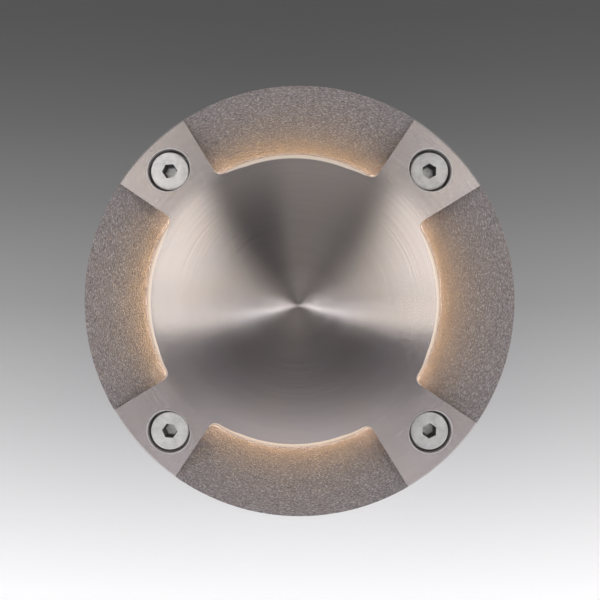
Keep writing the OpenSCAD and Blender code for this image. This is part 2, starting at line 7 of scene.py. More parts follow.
import bmesh
import bpy
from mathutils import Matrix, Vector


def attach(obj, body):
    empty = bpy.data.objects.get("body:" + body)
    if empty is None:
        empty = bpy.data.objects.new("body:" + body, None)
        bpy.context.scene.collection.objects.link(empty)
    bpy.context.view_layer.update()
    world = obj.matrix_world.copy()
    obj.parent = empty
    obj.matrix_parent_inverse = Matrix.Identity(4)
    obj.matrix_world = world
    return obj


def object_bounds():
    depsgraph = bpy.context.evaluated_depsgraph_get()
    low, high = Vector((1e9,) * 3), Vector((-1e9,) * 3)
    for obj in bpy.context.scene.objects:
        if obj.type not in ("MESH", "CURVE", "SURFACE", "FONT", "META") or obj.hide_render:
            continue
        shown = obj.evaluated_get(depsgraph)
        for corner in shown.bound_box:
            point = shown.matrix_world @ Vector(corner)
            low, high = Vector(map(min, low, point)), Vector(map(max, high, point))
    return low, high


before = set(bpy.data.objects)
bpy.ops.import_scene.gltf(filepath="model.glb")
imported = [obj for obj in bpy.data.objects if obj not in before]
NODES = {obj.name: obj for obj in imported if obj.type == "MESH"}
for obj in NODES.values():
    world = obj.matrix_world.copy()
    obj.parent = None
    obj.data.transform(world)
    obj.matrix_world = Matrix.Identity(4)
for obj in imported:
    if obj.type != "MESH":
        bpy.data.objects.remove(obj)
CAD_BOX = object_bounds()
SCENE = bpy.context.scene
MM = 1000.0

# Cover: its edge, the sphere of its dome, and its screws with their counterbores
FACE_R = 40.0
RIM_WIDTH = 0.6
RIM_TOP_Z = 3.4
DOME_R = 180.03
APEX_Z = 11.5
SCREW_R = 34.0
DIAGONAL = SCREW_R * math.sqrt(0.5)
BORE_R = 4.4
HEAD_TOP = 7.06
HEAD_R = 3.46

# Each cover screw: side along X, side along Y, turn of its socket in degrees, and its tone, which paints
# how much light falls on that screw
SOCKETS = ((1, 1, 30, 0.66), (-1, 1, 4, 0.89), (-1, -1, -5, 0.91), (1, -1, 27, 0.74))

# Casting: its centre and turn, and the windows and ramps round the dome
CASTING_CENTRE = (-1.1, 0.15)
CASTING_TURN = -1.15
SILL_Z = 5.0
RAMP_MIDDLE = 33.0
DISC_R = 26.2
CORNER_R = 1.4
RAMP_ANGLE = 65.4

# Lips of the windows: their inner edge to the wall's foot, steps outward, reach and height
LIP_INNER = 0.68
LIP_STEP = 0.24
LIP_REACH = 1.12
LIP_HEIGHT = 0.22
LIP_EDGE_HEIGHT = 0.10
BEVEL_RUN = 0.16
BEVEL_SHARE = 0.4
BEVEL_HEIGHT = 0.17
SLOPE_RUN = 0.40
SLOPE_SHARE = 0.8
LIP_SHIFT = ((-0.04, 0.0), (-0.13, 0.0), (0.04, 0.0), (0.13, 0.0))
CORNER_NARROWING = 0.62
CORNER_DROP = 0.28
CORNER_RISE = 0.1
EDGE_STEPS = 36
CORNER_STEPS = 12
ARM_STEPS = 7
ARM_STEP = 0.45
END_STEPS = 5.0
END_SHARE = 0.4

# Centres of the dome's turned rings and of the glowing line painted on its edge, and the painted light
# and shade of the dome by radius
TURN_CENTRE = (-0.28, -0.8)
RIM_CENTRE = (-1.11, -0.04)
PAINTED_LIGHT_BY_RADIUS = ((3.0, 0.98), (7.0, 0.81), (14.0, 0.83), (19.0, 0.94), (24.0, 1.05), (27.5, 1.0), (38.0, 1.14))

# Light of the windows along Y: where its share falls, and what is left at the back and front
SIDE_FROM = 8.0
SIDE_TO = 22.0
BACK_SHARE = 0.78
FRONT_SHARE = 0.90

# Camera over the middle of the face, as in the photograph
CAMERA_Z = 0.122
LENS_MM = 37.26
SENSOR_MM = 36.0
SHIFT = (0.0007, 0.0017)
CLIP_START = 0.005

# Noise textures give values about 0.5, nearly all of them between these
NOISE_LOW = 0.3
NOISE_HIGH = 0.7

# Limits that leave fewer of the values in between, for marks with sharper edges
SHARP_LOW = 0.35
SHARP_HIGH = 0.65


def linear(*values):
    """Linear colour from 0 to 255 screen values."""
    out = []
    for v in values:
        c = v / 255
        out.append(c / 12.92 if c <= 0.04045 else ((c + 0.055) / 1.055) ** 2.4)
    return tuple(out)


def shaded(colour, factor, lift=0.0):
    """A colour times a factor, with a lift added, and never above white."""
    return tuple(min(1.0, c * factor + lift) for c in colour)


WINDOW_LIGHT = linear(255, 213, 143)
PALE_WINDOW_LIGHT = linear(255, 222, 170)
LIP_LIGHT = (1.0, 0.85, 0.73)


class Nodes:
    """Short calls that add nodes to a tree."""

    def __init__(self, owner):
        owner.use_nodes = True
        self.tree = owner.node_tree
        self.tree.nodes.clear()

    def add(self, kind, **settings):
        node = self.tree.nodes.new(kind)
        for key, value in settings.items():
            setattr(node, key, value)
        return node

    def feed(self, socket, value):
        """Links an output to a socket, or sets the socket to a number, place or colour."""
        if isinstance(value, bpy.types.NodeSocket):
            self.tree.links.new(value, socket)
        else:
            socket.default_value = value

    def fed(self, node, *values):
        """Feeds a node's first inputs."""
        for socket, value in zip(node.inputs, values):
            self.feed(socket, value)
        return node

    def math(self, operation, *values):
        return self.fed(self.add("ShaderNodeMath", operation=operation), *values).outputs[0]

    def plus(self, a, b):
        return self.math("ADD", a, b)

    def minus(self, a, b):
        return self.math("SUBTRACT", a, b)

    def times(self, value, *factors):
        for factor in factors:
            value = self.math("MULTIPLY", value, factor)
        return value

    def over(self, a, b):
        return self.math("DIVIDE", a, b)

    def most(self, a, b):
        return self.math("MAXIMUM", a, b)

    def unsigned(self, value):
        return self.math("ABSOLUTE", value)

    def vector(self, operation, *values):
        return self.fed(self.add("ShaderNodeVectorMath", operation=operation), *values).outputs["Vector"]

    def length(self, vector):
        return self.fed(self.add("ShaderNodeVectorMath", operation="LENGTH"), vector).outputs["Value"]

    def dot(self, a, b):
        return self.fed(self.add("ShaderNodeVectorMath", operation="DOT_PRODUCT"), a, b).outputs["Value"]

    def scaled(self, vector, factor):
        node = self.fed(self.add("ShaderNodeVectorMath", operation="SCALE"), vector)
        self.feed(node.inputs["Scale"], factor)
        return node.outputs[0]

    def parts(self, vector):
        """The three numbers of a place."""
        return tuple(self.fed(self.add("ShaderNodeSeparateXYZ"), vector).outputs)

    def joined(self, x, y, z=0.0):
        """A place from three numbers."""
        return self.fed(self.add("ShaderNodeCombineXYZ"), x, y, z).outputs[0]

    def span(self, value, low, high, to_low=0.0, to_high=1.0, smooth=False):
        """Goes from to_low to to_high while the value goes from low to high, and no further."""
        node = self.add("ShaderNodeMapRange", clamp=True,
                        interpolation_type="SMOOTHSTEP" if smooth else "LINEAR")
        return self.fed(node, value, low, high, to_low, to_high).outputs[0]

    def spread(self, noise, to_low=0.0, to_high=1.0):
        """Stretches the values of a noise texture."""
        return self.span(noise, NOISE_LOW, NOISE_HIGH, to_low, to_high)

    def sharper(self, noise, to_low=0.0, to_high=1.0):
        """Stretches the values of a noise texture further."""
        return self.span(noise, SHARP_LOW, SHARP_HIGH, to_low, to_high)

    def blend(self, factor, a, b, mode="MIX"):
        node = self.add("ShaderNodeMix", data_type="RGBA", blend_type=mode)
        self.feed(node.inputs[0], factor)
        for socket, v in ((node.inputs[6], a), (node.inputs[7], b)):
            self.feed(socket, v if isinstance(v, bpy.types.NodeSocket) else (*v[:3], 1.0))
        return node.outputs[2]

    def mottled(self, noise, a, b):
        """Two colours, mixed by a noise texture."""
        return self.blend(self.spread(noise), a, b)

    def steps(self, value, *stops):
        """Colours at places from 0 to 1 along a value, with even changes between them."""
        node = self.fed(self.add("ShaderNodeValToRGB"), value)
        ramp = node.color_ramp
        while len(ramp.elements) < len(stops):
            ramp.elements.new(0.5)
        for element, (at, colour) in zip(ramp.elements, stops):
            element.position = at
            element.color = (*colour[:3], 1.0)
        return node.outputs[0]

    def greys(self, value, stops):
        return self.steps(value, *[(at, (v, v, v)) for at, v in stops])

    def noise(self, vector, size, detail=2.0, rough=0.5, bend=0.0, colour=False):
        """Noise whose features are about size millimetres wide."""
        node = self.fed(self.add("ShaderNodeTexNoise"), vector)
        for socket, v in (("Scale", 1.0 / size), ("Detail", detail), ("Roughness", rough),
                          ("Distortion", bend)):
            node.inputs[socket].default_value = v
        return node.outputs[1 if colour else 0]

    def cells(self, vector, size):
        """Distance from the nearest of scattered points that are about size millimetres apart."""
        node = self.fed(self.add("ShaderNodeTexVoronoi"), vector)
        node.inputs["Scale"].default_value = 1.0 / size
        return node.outputs["Distance"]


class Finish(Nodes):
    """A procedural material: one Principled shader, and the nodes that feed it."""

    def __init__(self, name, colour, roughness=0.5, metallic=0.0, **fixed):
        self.material = bpy.data.materials.new(name)
        super().__init__(self.material)
        self.shader = self.add("ShaderNodeBsdfPrincipled")
        output = self.add("ShaderNodeOutputMaterial")
        self.feed(output.inputs["Surface"], self.shader.outputs[0])
        self.set("Base Color", (*colour, 1.0))
        self.set("Roughness", roughness)
        self.set("Metallic", metallic)
        for socket, value in fixed.items():
            self.set(socket.replace("_", " "), value)
        self.place = self.scaled(self.add("ShaderNodeTexCoord").outputs["Object"], MM)

    def set(self, socket, value):
        self.feed(self.shader.inputs[socket], value)

    def bump(self, height, depth, normal=None):
        """Relief of depth millimetres for a height from 0 to 1."""
        node = self.add("ShaderNodeBump")
        node.inputs["Strength"].default_value = 1.0
        node.inputs["Distance"].default_value = depth / MM
        self.feed(node.inputs["Height"], height)
        if normal is not None:
            self.feed(node.inputs["Normal"], normal)
        return node.outputs[0]

    def rounded(self, radius):
        """Normal with edges rounded to a radius in millimetres."""
        node = self.add("ShaderNodeBevel", samples=4)
        node.inputs["Radius"].default_value = radius / MM
        return node.outputs[0]

    def offset(self, centre=(0.0, 0.0)):
        """Level offset from an upright axis."""
        if not isinstance(centre, bpy.types.NodeSocket):
            centre = (*centre, 0.0)
        return self.vector("MULTIPLY", self.vector("SUBTRACT", self.place, centre), (1.0, 1.0, 0.0))

    def radius(self, centre=(0.0, 0.0)):
        """Distance from an upright axis."""
        return self.length(self.offset(centre))

    def round_face(self):
        """Angle from the nearest of the X and Y axes."""
        x, y = self.parts(self.place)[:2]
        far_x, far_y = self.unsigned(x), self.unsigned(y)
        upright = self.math("GREATER_THAN", far_y, far_x)
        across = self.plus(self.times(upright, x), self.times(self.minus(1.0, upright), y))
        return self.math("ARCTAN2", across, self.most(far_x, far_y))

    def from_window(self):
        """Angle from the middle of the nearest window, either way, about the casting's centre."""
        x, y = self.parts(self.offset(CASTING_CENTRE))[:2]
        angle = self.minus(self.math("ARCTAN2", y, x), math.radians(CASTING_TURN))
        return self.unsigned(self.math("WRAP", angle, math.pi / 4, -math.pi / 4))

    def by_side(self):
        """Share of the window light that each side shows: least at the back."""
        y = self.parts(self.place)[1]
        return self.times(self.span(y, SIDE_FROM, SIDE_TO, 1.0, BACK_SHARE),
                          self.span(y, -SIDE_TO, -SIDE_FROM, FRONT_SHARE, 1.0))

    def turned(self, centre, line):
        """Turned metal: rings about an axis, which spread light away from it, and finer lines."""
        flat = self.offset(centre)
        radius = self.length(flat)
        way = self.vector("NORMALIZE", flat)
        turn = self.add("ShaderNodeVectorTransform", vector_type="VECTOR", convert_from="OBJECT",
                        convert_to="WORLD")
        self.set("Tangent", self.fed(turn, way).outputs[0])
        height = self.parts(self.place)[2]
        across = self.joined(self.over(radius, line), self.over(height, line * 2.0))
        rings = self.noise(self.vector("ADD", self.scaled(way, 0.8), across), size=1.0, detail=3.0,
                           rough=0.6)
        fine = self.noise(self.joined(self.over(radius, line / 3.0), self.over(height, line), 3.0),
                          size=1.0, detail=1.0)
        return rings, fine

    def relief(self, rings, fine, depth):
        """Relief of turned rings and of the finer lines between them."""
        return self.bump(self.math("MULTIPLY_ADD", fine, 0.4, self.times(rings, 0.6)), depth)


def dressed(node, *finishes):
    """Puts finishes in a node's material slots."""
    mesh = NODES[node].data
    mesh.materials.clear()
    for finish in finishes:
        mesh.materials.append(finish.material)


# The turned face of the cover, its cast ramps, and the cut surfaces of its screw seats

TURNED_WARM = (0.515, 0.455, 0.42)
TURNED_COOL = (0.495, 0.448, 0.44)
TURNED_LINE = (0.43, 0.385, 0.37)
SATIN_SPECK = (0.34, 0.31, 0.305)
# Near-black base colour under the glow painted on the dome's edge
PAINTED_RIM_BASE = (0.05, 0.045, 0.04)
TURNED_PITCH = 0.22
BROAD_PITCH = 0.55
ARM_FROM = 25.5
ARM_FULL = 30.0
# Where the glow painted on the dome's edge begins, is full and ends, in radii from its centre, and its
# strength
RIM_IN = 25.79
RIM_FULL = 25.97
RIM_OUT = 26.6
PAINTED_RIM_GLOW_STRENGTH = 0.78

# By the angle from a window's middle: how far the glow painted on the rim is drawn in, and where it ends
RIM_DRAWN_IN = (0.36, 0.51, 0.0, 0.36)
RIM_END = (0.500, 0.518)


def painted_rim_glow(f):
    """Where a glow is painted on the dome's outer edge over each window, drawn in towards the window's
    ends.
    """
    to_rim = f.radius(RIM_CENTRE)
    from_window = f.from_window()
    drawn_in = f.span(from_window, *RIM_DRAWN_IN)
    return f.times(f.span(to_rim, RIM_OUT, RIM_OUT + 0.1, 1.0, 0.0),
                   f.span(f.minus(to_rim, drawn_in), RIM_IN, RIM_FULL),
                   f.span(from_window, *RIM_END, 1.0, 0.0))


def turned_face():
    """Turned dome, whose rings fade into a satin grain on the arms, with painted light and shade by
    radius and a glow painted on its edge over the windows.
    """
    f = Finish("turned_face", (0.48, 0.43, 0.41), 0.18, 1.0, Anisotropic=1.0)
    rings, fine = f.turned(TURN_CENTRE, line=TURNED_PITCH)
    wide = f.noise(f.place, size=9.0)
    tint = f.blend(f.sharper(wide), TURNED_WARM, TURNED_COOL)
    tone = f.blend(f.spread(rings, 0.0, 0.4), tint, TURNED_LINE)
    broad = f.noise(f.joined(f.over(f.radius(TURN_CENTRE), BROAD_PITCH), 0.0), size=1.0, rough=0.6)
    tone = f.blend(f.sharper(broad, 0.0, 0.45), tone, TURNED_LINE)
    radius = f.radius()
    # Painted light and shade by radius: the tone is darkest from 7 to 14 mm, and lighter towards the
    # edge and on the arms
    wear_and_painted_light = f.greys(f.over(radius, FACE_R), [(at / FACE_R, v) for at, v in PAINTED_LIGHT_BY_RADIUS])
    arm = f.span(radius, ARM_FROM, ARM_FULL, smooth=True)
    speck = f.times(arm, f.sharper(f.noise(f.place, size=0.34), 0.0, 0.22))
    tone = f.blend(speck, f.blend(1.0, tone, wear_and_painted_light, "MULTIPLY"), SATIN_SPECK)
    # Painted highlight: an emission glow along the dome's edge over each window, on a near-black base
    rim = painted_rim_glow(f)
    f.set("Base Color", f.blend(rim, tone, PAINTED_RIM_BASE))
    f.set("Emission Color", (*LIP_LIGHT, 1.0))
    f.set("Emission Strength", f.times(rim, PAINTED_RIM_GLOW_STRENGTH, f.by_side()))
    satin = f.times(f.noise(f.place, size=0.09, detail=1.0), arm)
    f.set("Roughness", f.plus(f.span(rings, 0.25, 0.75, 0.16, 0.20), f.times(arm, 0.08)))
    f.set("Normal", f.bump(satin, 0.018, f.relief(rings, fine, depth=0.0010)))
    return f


CAST_WARM = (0.272, 0.242, 0.238)
CAST_COOL = (0.254, 0.232, 0.236)
CAST_PAINTED_WARMTH = (0.264, 0.217, 0.201)
CAST_OUTER = (0.282, 0.258, 0.268)
CAST_PIT = (0.105, 0.092, 0.094)
PAINTED_CAST_GLINT = (0.62, 0.60, 0.60)
PAINTED_CORNER_LIGHT = (1.0, 0.80, 0.60)
GRAIN = 0.26
GRAIN_BEND = 0.6
PAINTED_GLINT_SHIFT = (7.3, 2.1, 0.0)
GRAIN_RADIAL_SHARE = 1.3
GRAIN_ROUND_SHARE = 0.5
RAMPS_APART = (20.0, 50.0)

# By distance from the axis: where the grain gets stronger, where the inner tone, a painted warm light
# and shade near the windows, fades out, and where the outer tone comes in
STRONGER_GRAIN = (27.0, 35.0)
PAINTED_WARMTH_RADII = (28.0, 34.0)
OUTER_TONE = (34.0, 39.0)

# The glow painted on a ramp's inner corners: how far out they are, and its strength by distance
CORNER_OUT = 0.6
PAINTED_CORNER_GLOW = (0.8, 5.5, 0.95, 0.0)


def drawn_out(f, radius):
    """Places for the grain, which is long round the face, and differs from ramp to ramp."""
    x, y, z = f.parts(f.place)
    apart = f.plus(f.times(f.math("SIGN", x), RAMPS_APART[0]),
                   f.times(f.math("SIGN", y), RAMPS_APART[1]))
    return f.joined(f.times(radius, GRAIN_RADIAL_SHARE),
                    f.times(f.round_face(), RAMP_MIDDLE * GRAIN_ROUND_SHARE), f.plus(apart, z))


def to_ramp_corner(f):
    """Distance from the nearest inner corner of a ramp."""
    from_middle = f.radius(CASTING_CENTRE)
    to_wall = f.times(from_middle, f.minus(math.radians(RAMP_ANGLE / 2), f.from_window()))
    return f.length(f.joined(to_wall, f.minus(from_middle, DISC_R + CORNER_OUT)))


def cast_ramp():
    """Sand-cast skin: grains drawn out round the face, with bright crests, painted glints, a painted
    warm light and shade near the windows, and a glow painted at the inner corners.
    """
    f = Finish("cast_ramp", (0.28, 0.25, 0.25), 0.36, 0.55)
    radius = f.radius()
    along = drawn_out(f, radius)
    drift = f.noise(along, size=0.9, detail=1.0, colour=True)
    bent = f.vector("ADD", along, f.scaled(drift, GRAIN_BEND))
    swell = f.noise(bent, size=GRAIN, detail=1.0)
    ridge = f.minus(1.0, f.span(f.unsigned(f.minus(swell, 0.5)), 0.0, 0.17))
    grit = f.noise(f.place, size=0.16, rough=0.6)
    patch = f.noise(f.place, size=3.0, detail=3.0, rough=0.6)
    outer = f.span(radius, *STRONGER_GRAIN, smooth=True)
    tone = f.blend(f.sharper(patch), CAST_WARM, CAST_COOL)
    # Painted warm light and shade: a warmer, darker tone near the windows
    tone = f.blend(f.span(radius, *PAINTED_WARMTH_RADII, 1.0, 0.0), tone, CAST_PAINTED_WARMTH)
    tone = f.blend(f.span(radius, *OUTER_TONE), tone, CAST_OUTER)
    pits = f.blend(f.span(outer, 0.0, 1.0, 0.25, 0.6), tone, CAST_PIT)
    tone = f.blend(f.span(ridge, 0.1, 0.9), pits, tone)
    # Painted glints: pale spots on the grain, stronger outwards
    painted_glint = f.span(f.noise(f.vector("ADD", bent, PAINTED_GLINT_SHIFT), size=0.20, detail=1.0), 0.52, 0.68)
    tone = f.blend(f.times(painted_glint, f.span(outer, 0.0, 1.0, 0.15, 0.5)), tone, PAINTED_CAST_GLINT)
    f.set("Base Color", tone)
    # Painted light: an emission glow near the inner corners, where the window light falls
    f.set("Emission Color", f.blend(1.0, tone, PAINTED_CORNER_LIGHT, "MULTIPLY"))
    f.set("Emission Strength", f.times(f.by_side(), f.span(
        to_ramp_corner(f), *PAINTED_CORNER_GLOW, smooth=True)))
    f.set("Roughness", f.spread(grit, 0.34, 0.48))
    f.set("Normal", f.bump(f.math("MULTIPLY_ADD", grit, 0.35, ridge), depth=0.055))
    return f


def cut_seat():
    """Counterbores, turned about the nearest screw."""
    f = Finish("cut_seat", (0.56, 0.54, 0.53), 0.4, 0.35, Anisotropic=0.5)
    x, y = f.parts(f.place)[:2]
    centre = f.joined(f.times(f.math("SIGN", x), DIAGONAL), f.times(f.math("SIGN", y), DIAGONAL))
    rings, fine = f.turned(centre, line=0.2)
    f.set("Base Color", f.mottled(rings, (0.70, 0.66, 0.65), (0.60, 0.57, 0.56)))
    f.set("Normal", f.relief(rings, fine, depth=0.004))
    return f


def cut_edge():
    """Turned edge and underside of the cover."""
    f = Finish("cut_edge", (0.58, 0.55, 0.54), 0.34, 1.0, Anisotropic=0.6)
    rings, fine = f.turned((0.0, 0.0), line=0.3)
    f.set("Base Color", f.mottled(rings, (0.59, 0.56, 0.55), (0.49, 0.47, 0.46)))
    f.set("Normal", f.relief(rings, fine, depth=0.006))
    return f


NEAR_DOME = 0.04
FACES_UP = 0.9


def dome_z(r):
    return APEX_Z - DOME_R + math.sqrt(DOME_R * DOME_R - r * r)


def sort_cover_faces(face_slot=0, ramp_slot=1, seat_slot=2, edge_slot=3):
    """Gives each face of the cover the slot of the surface that it belongs to."""
    mesh = NODES["top_cover"].data
    places = [v.co * MM for v in mesh.vertices]
    for face in mesh.polygons:
        points = [places[i] for i in face.vertices]
        radii = [math.hypot(p.x, p.y) for p in points]
        middle = sum(points, Vector()) / len(points)
        to_screw = math.hypot(abs(middle.x) - DIAGONAL, abs(middle.y) - DIAGONAL)
        on_dome = all(abs(p.z - dome_z(r)) < NEAR_DOME for p, r in zip(points, radii))
        if on_dome and face.normal.z > FACES_UP:
            face.material_index = face_slot
        elif to_screw < BORE_R:
            face.material_index = seat_slot
        elif min(radii) > FACE_R - RIM_WIDTH or max(p.z for p in points) < RIM_TOP_Z:
            face.material_index = edge_slot
        else:
            face.material_index = ramp_slot


dressed("top_cover", turned_face(), cast_ramp(), cut_seat(), cut_edge())
sort_cover_faces()


# Screws, washers and the light windows

SOCKET_HALF = 1.26
SOCKET_DEPTH = 2.04
# How far across a socket the painted shade of its walls sets in, and how strong it gets
SOCKET_WALL_PAINTED_SHADE = (0.80, 1.12, 0.0, 0.9)

# Depths under the top of a head between which the shade of its socket and of its side fades
SOCKET_EDGE = (0.25, 0.02)
HEAD_EDGE = (0.5, 0.3)

# Painted shade down the side of each head, in the gap to its counterbore: its strength and colour
HEAD_SIDE_DARK = 0.7
HEAD_SIDE_SHADE = (0.10, 0.08, 0.07)
SCREW_TINT = (1.0, 0.985, 0.965)


def in_socket(f, tone, base, centre, turn):
    """Paints shade on the walls of a hex socket and light with glints on its floor, into a screw's tone.
    """
    z = f.parts(f.place)[2]
    flat = f.offset(centre)
    walls = []
    for k in range(3):
        a = math.radians(turn + 30 + 60 * k)
        walls.append(f.unsigned(f.dot(flat, (math.cos(a), math.sin(a), 0.0))))
    across = f.most(walls[0], f.most(walls[1], walls[2]))
    # Painted light: a lighter floor with glints; painted shade: dark walls above it
    painted_glint = f.span(f.noise(f.place, size=0.7), 0.4, 0.6)
    painted_lit_floor = f.blend(painted_glint, shaded(base, 0.95), shaded(base, 1.2))
    above_floor = f.span(z, HEAD_TOP - SOCKET_DEPTH, HEAD_TOP - SOCKET_DEPTH + 0.09)
    painted_shade = f.most(f.span(across, *SOCKET_WALL_PAINTED_SHADE), above_floor)
    inside = f.times(f.span(across, SOCKET_HALF, SOCKET_HALF + 0.04, 1.0, 0.0),
                     f.span(z, *[HEAD_TOP - v for v in SOCKET_EDGE], 1.0, 0.0))
    return f.blend(inside, tone, f.blend(painted_shade, painted_lit_floor, shaded(base, 0.06)))


def screw_finish(name, base, metallic, place=None, turn=0.0):
    """Bright steel. With a place, it is a cover screw there, with its hex socket at a turn, painted
    shade in the socket and down the head's side, and a painted lighter floor in the socket.
    """
    f = Finish(name, base, 0.34, metallic, Anisotropic=0.2)
    centre = place or (0.0, 0.0)
    fine = f.turned(centre, line=0.12)[1]
    cloud = f.noise(f.place, size=1.9, detail=3.0, rough=0.6)
    tone = f.blend(f.span(cloud, 0.38, 0.66), shaded(base, 1.06), shaded(base, 0.80))
    if place:
        tone = in_socket(f, tone, base, centre, turn)
        # Painted shade on the side of the head, under its top
        below = f.span(f.parts(f.place)[2], *[HEAD_TOP - v for v in HEAD_EDGE], 1.0, 0.0)
        side = f.times(below, f.span(f.radius(centre), HEAD_R - 0.06, HEAD_R))
        tone = f.blend(f.times(side, HEAD_SIDE_DARK), tone, HEAD_SIDE_SHADE)
    f.set("Base Color", tone)
    f.set("Roughness", f.spread(cloud, 0.30, 0.40))
    f.set("Normal", f.bump(fine, depth=0.0006))
    return f


def nylon():
    f = Finish("washer_nylon", (0.78, 0.76, 0.70), 0.42, Subsurface_Weight=0.08)
    cloud = f.noise(f.place, size=1.2, detail=3.0)
    f.set("Base Color", f.mottled(cloud, (0.80, 0.78, 0.72), (0.70, 0.68, 0.61)))
    f.set("Normal", f.bump(f.noise(f.place, size=0.2), depth=0.01))
    return f


WINDOW_FROM = 21.0
WINDOW_FULL = 24.0
INNER_GLOW = 0.6
WINDOW_GLOW = 7.8


def frosted():
    """Frosted plastic, lit from inside, and brightest at the windows."""
    f = Finish("frosted_window", (0.95, 0.80, 0.62), 0.5, Subsurface_Weight=0.2)
    cloud = f.noise(f.place, size=2.5, detail=3.0)
    f.set("Base Color", f.mottled(cloud, (0.96, 0.82, 0.64), (0.92, 0.75, 0.56)))
    f.set("Emission Color", f.blend(f.spread(cloud, 0.0, 0.2), WINDOW_LIGHT, PALE_WINDOW_LIGHT))
    f.set("Emission Strength", f.span(f.radius(CASTING_CENTRE), WINDOW_FROM, WINDOW_FULL,
                                      INNER_GLOW, WINDOW_GLOW, smooth=True))
    f.set("Normal", f.bump(f.noise(f.place, size=0.12), depth=0.008))
    return f


SMALL = screw_finish("small_screw_steel", (0.60, 0.59, 0.58), 1.0)

# Each screw gets its own copy of the steel, lighter or darker as painted light
for n, (sx, sy, turn, tone) in enumerate(SOCKETS, 1):
    dressed(f"cover_screw_{n}", screw_finish(
        f"cover_screw_painted_light_steel_{n}", tuple(tone * t for t in SCREW_TINT), 0.5,
        (sx * DIAGONAL, sy * DIAGONAL), turn))
    dressed(f"screw_washer_{n}", nylon())
dressed("diffuser_ring", frosted())


LIP_SIDE_LIGHT = (1.0, 0.88, 0.74)
LIP_SIDE_GLOW = 18.0
LIP_SLOPE_GLOW = 0.32
LIP_TOP_GLOW = 0.56
LIP_FADE_FROM = 28.2
LIP_FADE_TO = 30.6

# How far up a face looks: from the side of a lip to its slope, and from the slope to its top
LIP_SIDE_UP = (0.2, 0.6)
LIP_TOP_UP = (0.90, 1.0)


def lip_finish():
    """Clear plastic lit from behind: pale on top, and bright where it faces the ramp."""
    f = Finish("window_lip", (0.2, 0.17, 0.15), 0.5)
    grain = f.noise(f.place, size=0.4)
    f.set("Base Color", f.mottled(grain, (0.21, 0.18, 0.16), (0.18, 0.15, 0.13)))
    facing = f.unsigned(f.parts(f.add("ShaderNodeNewGeometry").outputs["True Normal"])[2])
    side = f.span(facing, *LIP_SIDE_UP, 1.0, 0.0)
    tone = f.mottled(grain, LIP_LIGHT, (1.0, 0.82, 0.68))
    f.set("Emission Color", f.blend(side, tone, LIP_SIDE_LIGHT))
    top = f.span(facing, *LIP_TOP_UP, LIP_SLOPE_GLOW, LIP_TOP_GLOW)
    light = f.times(f.math("MULTIPLY_ADD", side, LIP_SIDE_GLOW, top), f.by_side())
    f.set("Emission Strength", f.times(light, f.span(
        f.radius(CASTING_CENTRE), LIP_FADE_FROM, LIP_FADE_TO, 1.0, 0.0)))
    f.set("Normal", f.bump(grain, depth=0.006))
    return f


def spoke(r, a):
    return Vector((r * math.cos(a), r * math.sin(a)))


def ramp_outline():
    """Foot of the wall round the inner end of a ramp: point, way into the ramp, share of corner."""
    half = math.radians(RAMP_ANGLE / 2)
    turn = math.asin(CORNER_R / (DISC_R + CORNER_R))
    edge = [(spoke(DISC_R, a), spoke(1.0, a), 0.0) for a in (
        (half - turn) * k / EDGE_STEPS for k in range(EDGE_STEPS + 1))]
    middle = spoke(DISC_R + CORNER_R, half - turn)
    corner = []
    for k in range(1, CORNER_STEPS + 1):
        a = half + math.pi - turn - (math.pi / 2 - turn) * k / CORNER_STEPS
        corner.append((middle + spoke(CORNER_R, a), spoke(-1.0, a), k / CORNER_STEPS))
    last, into = corner[-1][:2]
    arm = [(last + spoke(ARM_STEP * k, half), into, 1.0) for k in range(1, ARM_STEPS + 1)]
    one_side = edge + corner + arm
    other = [(Vector((p.x, -p.y)), Vector((n.x, -n.y)), c) for p, n, c in one_side[1:]]
    return list(reversed(other)) + one_side


def lip_section(foot, into, corner, shift, fade):
    """Points across a lip, from under its inner edge outwards and up: level place and height."""
    inner = foot - into * (LIP_INNER - CORNER_NARROWING * corner)
    outer = foot + into * LIP_STEP + foot.normalized() * LIP_REACH
    outer += Vector(shift) * (1.0 - corner)
    wide = (outer - inner).length
    way = (outer - inner) / wide
    low = SILL_Z - CORNER_DROP * corner
    tall = (LIP_HEIGHT + CORNER_RISE * corner) * (END_SHARE + (1.0 - END_SHARE) * fade)
    bevel = min(BEVEL_RUN, wide * BEVEL_SHARE)
    slope = min(SLOPE_RUN, wide * SLOPE_SHARE)
    profile = ((wide, 0.0), (0.0, 0.0), (0.0, LIP_EDGE_HEIGHT), (bevel, BEVEL_HEIGHT),
               (slope, LIP_HEIGHT), (wide, LIP_HEIGHT))
    return [(outer - way * back, low + z / LIP_HEIGHT * tall) for back, z in profile]


def lip_mesh(name, outline, turn, shift):
    """One lip: a section at each point of the outline, joined to the next, with closed ends."""
    bm = bmesh.new()
    rings = []
    for k, (foot, into, corner) in enumerate(outline):
        fade = min(1.0, min(k, len(outline) - 1 - k) / END_STEPS)
        ring = []
        for p, z in lip_section(foot, into, corner, shift, fade):
            p = Vector((p.x * math.cos(turn) - p.y * math.sin(turn),
                        p.x * math.sin(turn) + p.y * math.cos(turn)))
            ring.append(bm.verts.new(((CASTING_CENTRE[0] + p.x) / MM, (CASTING_CENTRE[1] + p.y) / MM,
                                      z / MM)))
        rings.append(ring)
    count = len(rings[0])
    for a, b in zip(rings, rings[1:]):
        for i in range(count):
            j = (i + 1) % count
            bm.faces.new((a[i], b[i], b[j], a[j]))
    bm.faces.new(rings[0])
    bm.faces.new(reversed(rings[-1]))
    bmesh.ops.recalc_face_normals(bm, faces=bm.faces)
    mesh = bpy.data.meshes.new(name)
    bm.to_mesh(mesh)
    bm.free()
    return mesh


